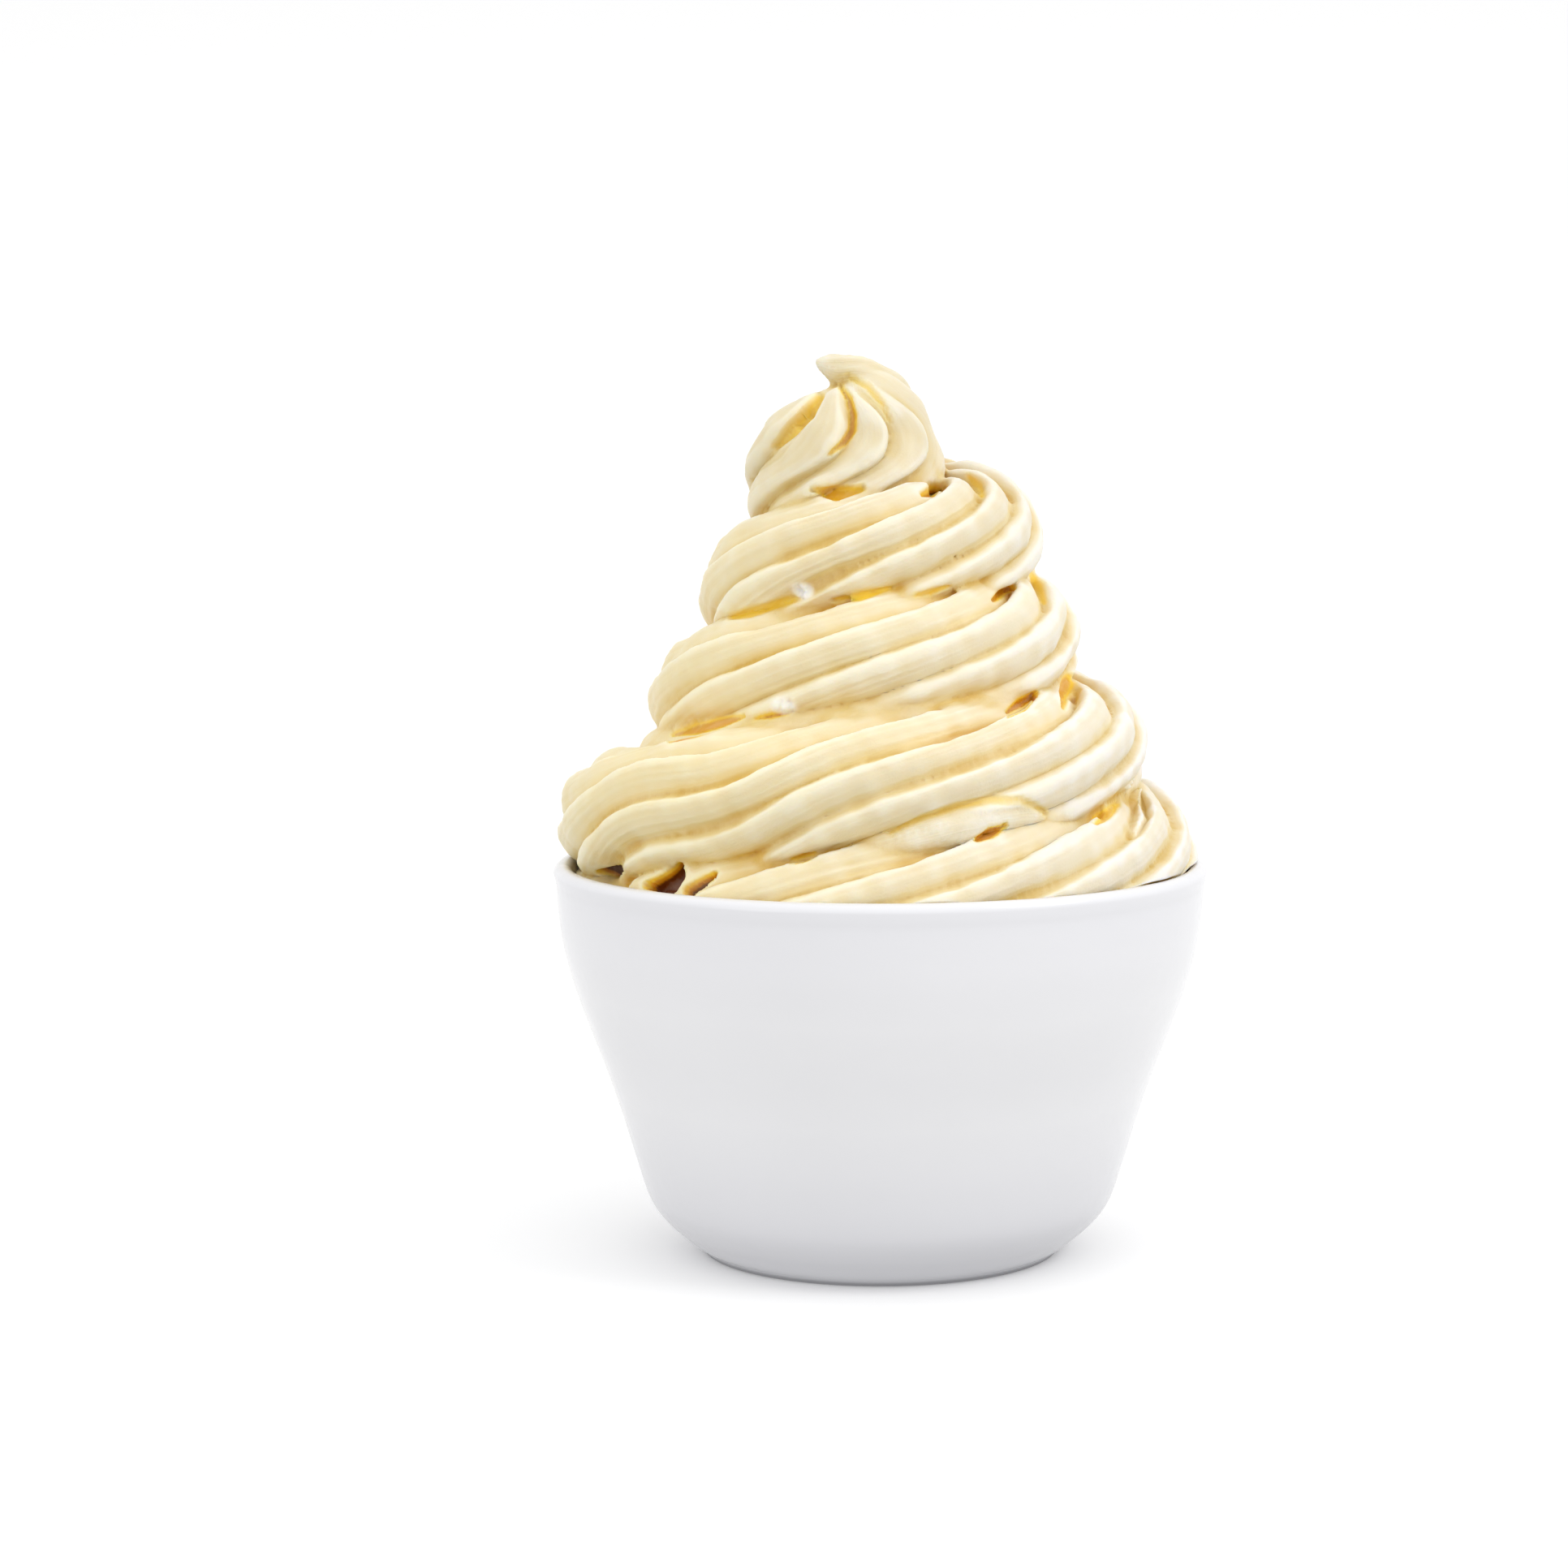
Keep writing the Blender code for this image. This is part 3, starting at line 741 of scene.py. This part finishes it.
def open_holes(points, pairs, outward):
    """The points with the pits shallower and the holes and creases pushed in, and their painted shade and
    glow.
    """
    away = unit(averaged(outward, pairs, HOLE_ROUNDS, STRONG))
    near = averaged(points, pairs, HOLE_ROUNDS, STRONG)
    depth = np.sum((near - points) * away, 1)
    pit = smoothstep(*PIT, depth)
    hollow = smoothstep(*HOLLOW_ENOUGH, depth)
    moved = points + (PIT_FILL * pit * depth)[:, None] * away
    # The pits are painted orange as a painted glow, and the holes and creases take their painted shade.
    colours = PIT_GLOW * pit
    for rows, held in ((HOLES, np.ones(len(points))), (CREASES, hollow)):
        for push, colour, line in rows:
            share = held * stroke(points, line)
            moved -= push * share[:, None] * away
            colours = np.maximum(colours, colour * share)
    return moved, colours


def frosting(points):
    """How much of a frosted patch lies at each point, from 0 to 1."""
    total = np.zeros(len(points))
    for azimuth, height, half_length, half_width in FROSTS:
        azimuth = math.radians(azimuth)
        level = points @ np.array([math.cos(azimuth), math.sin(azimuth), 0.0])
        outwards = points @ np.array([math.sin(azimuth), -math.cos(azimuth), 0.0])
        reach = (level / half_length) ** 2 + ((points[:, 2] - height) / half_width) ** 2
        total = np.maximum(total, np.where(outwards > 0, 1 - smoothstep(FROST_CORE, 1.0, reach), 0.0))
    return total


def draw_skin(mesh, tree, marks):
    """Draw lines, swellings, frost and holes, and give where the holes' painted shade and glow and the
    frost lie and how strong.
    """
    rng = np.random.default_rng(SEED)
    pairs = edges(mesh)
    points = averaged(coordinates(mesh), pairs, SKIN_ROUNDS)
    set_coordinates(mesh, points)
    here, steady = marks_at(points, pairs, tree, marks)
    rise = DRAG_HEIGHT * steady * drag_lines(here, rng)
    rise += BROAD_SWELL * unevenness(points, BROAD_LENGTH, rng)
    rise += SMALL_SWELL * unevenness(points, SMALL_LENGTH, rng)
    frost = frosting(points)
    rise += FROST_HEIGHT * frost * (1 + unevenness(points, FROST_LENGTH, rng))
    points, painted_hole_shade = open_holes(points + rise[:, None] * normals(mesh), pairs, normals(mesh))
    set_coordinates(mesh, points)
    spots = KDTree(len(points))
    for i in np.nonzero((painted_hole_shade > 0) | (frost > 0))[0]:
        spots.insert(points[i], i)
    spots.balance()
    return spots, painted_hole_shade, frost


def cut_to_cup(swirl):
    """Take away all that would lie in the cup's wall or outside it."""
    room = make_room()
    fit = swirl.modifiers.new("fit", 'BOOLEAN')
    fit.operation = 'DIFFERENCE'
    fit.object = room
    fit.solver = 'MANIFOLD'
    apply_modifiers(swirl)
    bpy.data.objects.remove(room, do_unlink=True)
    swirl.data.materials.clear()


def store_looks(mesh, tree, marks, spots, painted_hole_shade, frost):
    """Keep on the mesh what its material reads: hollows for the painted shade, places along the rope, the
    holes' painted shade and glow, and frost.
    """
    pairs = edges(mesh)
    points = coordinates(mesh)
    outward = normals(mesh)
    near = averaged(points, pairs, GROOVE_ROUNDS, STRONG)
    wide = averaged(near, pairs, CREASE_ROUNDS, STRONG)
    store(mesh, "groove", averaged(np.sum((near - points) * outward, 1), pairs, 1))
    store(mesh, "crease", averaged(np.sum((wide - points) * outward, 1), pairs, 2))
    here, steady = marks_at(points, pairs, tree, marks)
    here[:, :2] *= STREAK_RADIUS
    store(mesh, "along", here)
    store(mesh, "steady", steady)
    marked = [spots.find(point) for point in points]
    close = np.array([distance < SAME_POINT for _, _, distance in marked])
    index = np.array([i for _, i, _ in marked])
    store(mesh, "hole_shade", averaged(np.where(close, painted_hole_shade[index], 0.0), pairs, HOLE_EDGE_ROUNDS))
    store(mesh, "frost", averaged(np.where(close, frost[index], 0.0), pairs, 1))
    mesh.shade_smooth()


def nodes_of(material):
    """Node tree and shader of a new material."""
    material.use_nodes = True
    tree = material.node_tree
    return tree, tree.nodes["Principled BSDF"]


def linear(colour):
    """Scene-linear values of an sRGB colour given from 0 to 255."""
    return tuple((c / 255 / 12.92) if c / 255 <= 0.04045 else ((c / 255 + 0.055) / 1.055) ** 2.4
                 for c in colour)


def ramp(tree, value, stops):
    """Colour that follows a value, from (value, colour) stops."""
    low, high = stops[0][0], stops[-1][0]
    node = tree.nodes.new("ShaderNodeValToRGB")
    node.color_ramp.interpolation = 'EASE'
    while len(node.color_ramp.elements) < len(stops):
        node.color_ramp.elements.new(0.5)
    for element, (position, colour) in zip(node.color_ramp.elements, stops):
        element.position = (position - low) / (high - low)
        element.color = (*linear(colour), 1.0)
    tree.links.new(span(tree, value, low, high, 0.0, 1.0), node.inputs["Fac"])
    return node.outputs["Color"]


def span(tree, value, low, high, to_low, to_high):
    """A value brought from one range to another."""
    node = tree.nodes.new("ShaderNodeMapRange")
    for name, number in zip(("From Min", "From Max", "To Min", "To Max"), (low, high, to_low, to_high)):
        node.inputs[name].default_value = number
    tree.links.new(value, node.inputs["Value"])
    return node.outputs["Result"]


def between(tree, value, reach, start=0.0, end=1.0):
    """A place in metres brought from a range in millimetres to a start and an end."""
    return span(tree, value, reach[0] * MM, reach[1] * MM, start, end)


def maths(tree, operation, value, other):
    """Two values put together by an operation."""
    node = tree.nodes.new("ShaderNodeMath")
    node.operation = operation
    tree.links.new(value, node.inputs[0])
    tree.links.new(other, node.inputs[1])
    return node.outputs["Value"]


def times(tree, value, other):
    """Product of two values."""
    return maths(tree, 'MULTIPLY', value, other)


def plus(tree, value, other):
    """Sum of two values."""
    return maths(tree, 'ADD', value, other)


def axes_of(tree, vector):
    """The vector's X, Y and Z."""
    node = tree.nodes.new("ShaderNodeSeparateXYZ")
    tree.links.new(vector, node.inputs["Vector"])
    return node.outputs


def noise(tree, vector, scale, detail):
    """Soft random value from 0 to 1 over a vector."""
    node = tree.nodes.new("ShaderNodeTexNoise")
    node.inputs["Scale"].default_value = scale
    node.inputs["Detail"].default_value = detail
    tree.links.new(vector, node.inputs["Vector"])
    return node.outputs["Fac"]


def named(tree, name, output):
    """A value stored on the mesh."""
    node = tree.nodes.new("ShaderNodeAttribute")
    node.attribute_name = name
    return node.outputs[output]


def mixed(tree, mode, amount, colour, other):
    """Two colours mixed by an amount, a number or a value."""
    node = tree.nodes.new("ShaderNodeMix")
    node.data_type = 'RGBA'
    node.blend_type = mode
    if isinstance(amount, float):
        node.inputs["Factor"].default_value = amount
    else:
        tree.links.new(amount, node.inputs["Factor"])
    for socket, value in ((node.inputs[6], colour), (node.inputs[7], other)):
        if isinstance(value, tuple):
            socket.default_value = (*value, 1.0)
        else:
            tree.links.new(value, socket)
    return node.outputs[2]


def bumped(tree, height, distance, under=None):
    """Normal roughened by a height in metres times a value."""
    node = tree.nodes.new("ShaderNodeBump")
    node.inputs["Distance"].default_value = distance
    tree.links.new(height, node.inputs["Height"])
    if under is not None:
        tree.links.new(under, node.inputs["Normal"])
    return node.outputs["Normal"]


def drawn_streaks(tree):
    """Soft streaks that run along the rope."""
    along = tree.nodes.new("ShaderNodeVectorMath")
    along.operation = 'MULTIPLY'
    along.inputs[1].default_value = (1.0, 1.0, STREAK_STRETCH)
    tree.links.new(named(tree, "along", "Vector"), along.inputs[0])
    return noise(tree, along.outputs["Vector"], *STREAKS)


def cream_colour(tree, place, steady, streaks, mottle):
    """Yellower on the shaded side and paler where the key light falls, as painted light, deeper in the
    hollows as painted shade, with painted shade and glow in the holes, pale streaks and a crown painted
    greyer towards its top.
    """
    axes = axes_of(tree, place)
    # Painted light: paler towards +X, where the key light falls, and yellower on the shaded side.
    side = between(tree, axes["X"], LIT_SIDE_RANGE)
    colour = mixed(tree, 'MIX', side, linear(SHADED_SIDE_TONE), linear(LIT_SIDE_TONE))
    # Painted shade, darker and yellower in the grooves and creases.
    for name, tones in (("groove", GROOVE_SHADE_TONES), ("crease", CREASE_SHADE_TONES)):
        colour = mixed(tree, 'MULTIPLY', 1.0, colour, ramp(tree, named(tree, name, "Fac"), tones))
    # Painted shade and glow in the holes and pits.
    hole_shade = named(tree, "hole_shade", "Fac")
    shown = span(tree, hole_shade, 0.0, HOLE_SHADE_SHOWN, 0.0, 1.0)
    colour = mixed(tree, 'MIX', shown, colour, ramp(tree, hole_shade, HOLE_SHADE_AND_GLOW_TONES))
    colour = mixed(tree, 'MIX', named(tree, "frost", "Fac"), colour, linear(FROST_TONE))
    pale = times(tree, steady, span(tree, streaks, *STREAK_RANGE, 0.0, STREAK_SHARE))
    colour = mixed(tree, 'MIX', pale, colour, linear(STREAK_TONE))
    blush = span(tree, mottle, *BLUSH_RANGE, 0.0, BLUSH_SHARE)
    colour = mixed(tree, 'MULTIPLY', blush, colour, linear(BLUSH_TONE))
    # Painted shade: the crown is darker towards its top.
    return mixed(tree, 'MULTIPLY', between(tree, axes["Z"], CROWN_SHADE_RANGE), colour, linear(CROWN_SHADE))


def soft_serve():
    """Pale creamy yellow, with drawn streaks and a fine frozen grain."""
    material = bpy.data.materials.new("soft_serve")
    tree, shader = nodes_of(material)
    place = tree.nodes.new("ShaderNodeTexCoord").outputs["Object"]
    steady = named(tree, "steady", "Fac")
    streaks = drawn_streaks(tree)
    mottle = noise(tree, place, *MOTTLE)
    grain = noise(tree, place, *GRAIN)
    colour = cream_colour(tree, place, steady, streaks, mottle)
    tree.links.new(colour, shader.inputs["Base Color"])
    satin = span(tree, mottle, *NOISE_RANGE, *SATIN)
    rough = plus(tree, satin, span(tree, grain, *NOISE_RANGE, 0.0, GRAIN_ROUGHNESS))
    tree.links.new(rough, shader.inputs["Roughness"])
    normal = bumped(tree, times(tree, steady, streaks), STREAK_HEIGHT * MM)
    normal = bumped(tree, grain, GRAIN_HEIGHT * MM, normal)
    tree.links.new(normal, shader.inputs["Normal"])
    shader.inputs["Subsurface Weight"].default_value = GLOW_SHARE
    shader.inputs["Subsurface Radius"].default_value = GLOW_SPREAD
    shader.inputs["Subsurface Scale"].default_value = GLOW_DEPTH * MM
    shader.inputs["IOR"].default_value = CREAM_IOR
    return material


def china():
    """Glossy white glaze, painted greyer towards the foot and in a band under the lip as painted shade,
    bare and rougher on the foot ring, which is painted dark grey as a painted contact shadow.
    """
    material = bpy.data.materials.new("china_glaze")
    tree, shader = nodes_of(material)
    place = tree.nodes.new("ShaderNodeTexCoord").outputs["Object"]
    height = axes_of(tree, place)["Z"]
    # The bare foot ring: really rougher, and painted dark grey as a painted contact shadow.
    bare = between(tree, height, BARE_SHADOW_RANGE, 1.0, 0.0)
    cloud = noise(tree, place, *CLOUD)
    ripple = noise(tree, place, *RIPPLE)
    glaze = mixed(tree, 'MIX', cloud, linear(GLAZE_TONES[0]), linear(GLAZE_TONES[1]))
    # Painted shade: the glaze greys towards the foot and in a band under the lip.
    foot_shade = between(tree, height, FOOT_SHADE_RANGE, 1.0, 0.0)
    lip_shade = between(tree, height, LIP_SHADE_RANGE, 0.0, LIP_SHADE_SHARE)
    glaze = mixed(tree, 'MIX', plus(tree, foot_shade, lip_shade), glaze, linear(GLAZE_SHADE))
    colour = mixed(tree, 'MIX', bare, glaze, linear(BARE_FOOT_SHADOW))
    tree.links.new(colour, shader.inputs["Base Color"])
    gloss = span(tree, ripple, *NOISE_RANGE, *GLOSS)
    rough = plus(tree, gloss, span(tree, bare, 0.0, 1.0, 0.0, BARE_ROUGHNESS))
    tree.links.new(rough, shader.inputs["Roughness"])
    tree.links.new(bumped(tree, ripple, RIPPLE_HEIGHT * MM), shader.inputs["Normal"])
    shader.inputs["IOR"].default_value = GLAZE_IOR
    return material


def make_floor():
    """Plain pale paper, flat under the cup and sweeping up into a backdrop behind it."""
    profile = [(-FLOOR_REACH, 0.0)]
    for k in range(SWEEP_STEPS + 1):
        angle = 0.5 * math.pi * k / SWEEP_STEPS
        profile.append((SWEEP_START + SWEEP_RADIUS * math.sin(angle), SWEEP_RADIUS * (1 - math.cos(angle))))
    profile.append((SWEEP_START + SWEEP_RADIUS, BACKDROP_HEIGHT))
    verts = [(side * FLOOR_REACH, y, z) for y, z in profile for side in (-1, 1)]
    faces = [(2 * k, 2 * k + 1, 2 * k + 3, 2 * k + 2) for k in range(len(profile) - 1)]
    mesh = bpy.data.meshes.new("floor")
    mesh.from_pydata(verts, [], faces)
    mesh.shade_smooth()
    floor = bpy.data.objects.new("floor", mesh)
    bpy.context.scene.collection.objects.link(floor)
    material = bpy.data.materials.new("floor_paper")
    _, shader = nodes_of(material)
    shader.inputs["Base Color"].default_value = (*PAPER, 1.0)
    shader.inputs["Emission Color"].default_value = (*WHITE, 1.0)
    shader.inputs["Emission Strength"].default_value = FLOOR_GLOW
    shader.inputs["Roughness"].default_value = PAPER_ROUGHNESS
    shader.inputs["Specular IOR Level"].default_value = PAPER_SHINE
    mesh.materials.append(material)
    floor.visible_diffuse = False


def aim(obj, place, target):
    """Put the object at a place and turn it to look at a target."""
    obj.location = place
    obj.rotation_euler = (Vector(target) - Vector(place)).to_track_quat('-Z', 'Y').to_euler()


def make_light(name, place, size, power, colour):
    """Soft area light aimed at the swirl."""
    data = bpy.data.lights.new(name, 'AREA')
    data.shape = 'DISK'
    data.size = size
    data.energy = power
    data.color = colour
    light = bpy.data.objects.new(name, data)
    bpy.context.scene.collection.objects.link(light)
    aim(light, place, LIGHT_AIM)


def make_camera():
    """Long lens at the height of the swirl's tip, looking slightly down."""
    data = bpy.data.cameras.new("camera")
    data.sensor_width = SENSOR_WIDTH
    data.lens = LENS
    data.shift_x = LENS_SHIFT
    data.clip_start = CLIP_START
    camera = bpy.data.objects.new("camera", data)
    bpy.context.scene.collection.objects.link(camera)
    aim(camera, CAMERA_PLACE, CAMERA_AIM)
    bpy.context.scene.camera = camera


def make_world():
    """Soft white room, brightest overhead and dimmest underneath."""
    world = bpy.data.worlds.new("studio")
    world.use_nodes = True
    tree = world.node_tree
    level = axes_of(tree, tree.nodes.new("ShaderNodeTexCoord").outputs["Generated"])["Z"]
    upper = span(tree, level, 0.0, 1.0, HORIZON_LIGHT, OVERHEAD_LIGHT)
    lower = span(tree, level, -1.0, 0.0, UNDER_LIGHT - HORIZON_LIGHT, 0.0)
    background = tree.nodes["Background"]
    background.inputs["Color"].default_value = (*WHITE, 1.0)
    tree.links.new(plus(tree, upper, lower), background.inputs["Strength"])
    bpy.context.scene.world = world


def main():
    """Dress the frame."""
    make_camera()
    make_world()
    bpy.context.scene.view_settings.view_transform = 'Standard'
    for row in LIGHTS:
        make_light(*row)
    make_floor()
    swirl, tree, marks = make_swirl()
    spots, painted_hole_shade, frost = draw_skin(swirl.data, tree, marks)
    cut_to_cup(swirl)
    store_looks(swirl.data, tree, marks, spots, painted_hole_shade, frost)
    swirl.data.materials.append(soft_serve())
    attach(swirl, "root")
    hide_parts("ice_cream")
    cup = make_cup()
    cup.data.materials.append(china())
    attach(cup, "root")
    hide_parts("cup")


main()
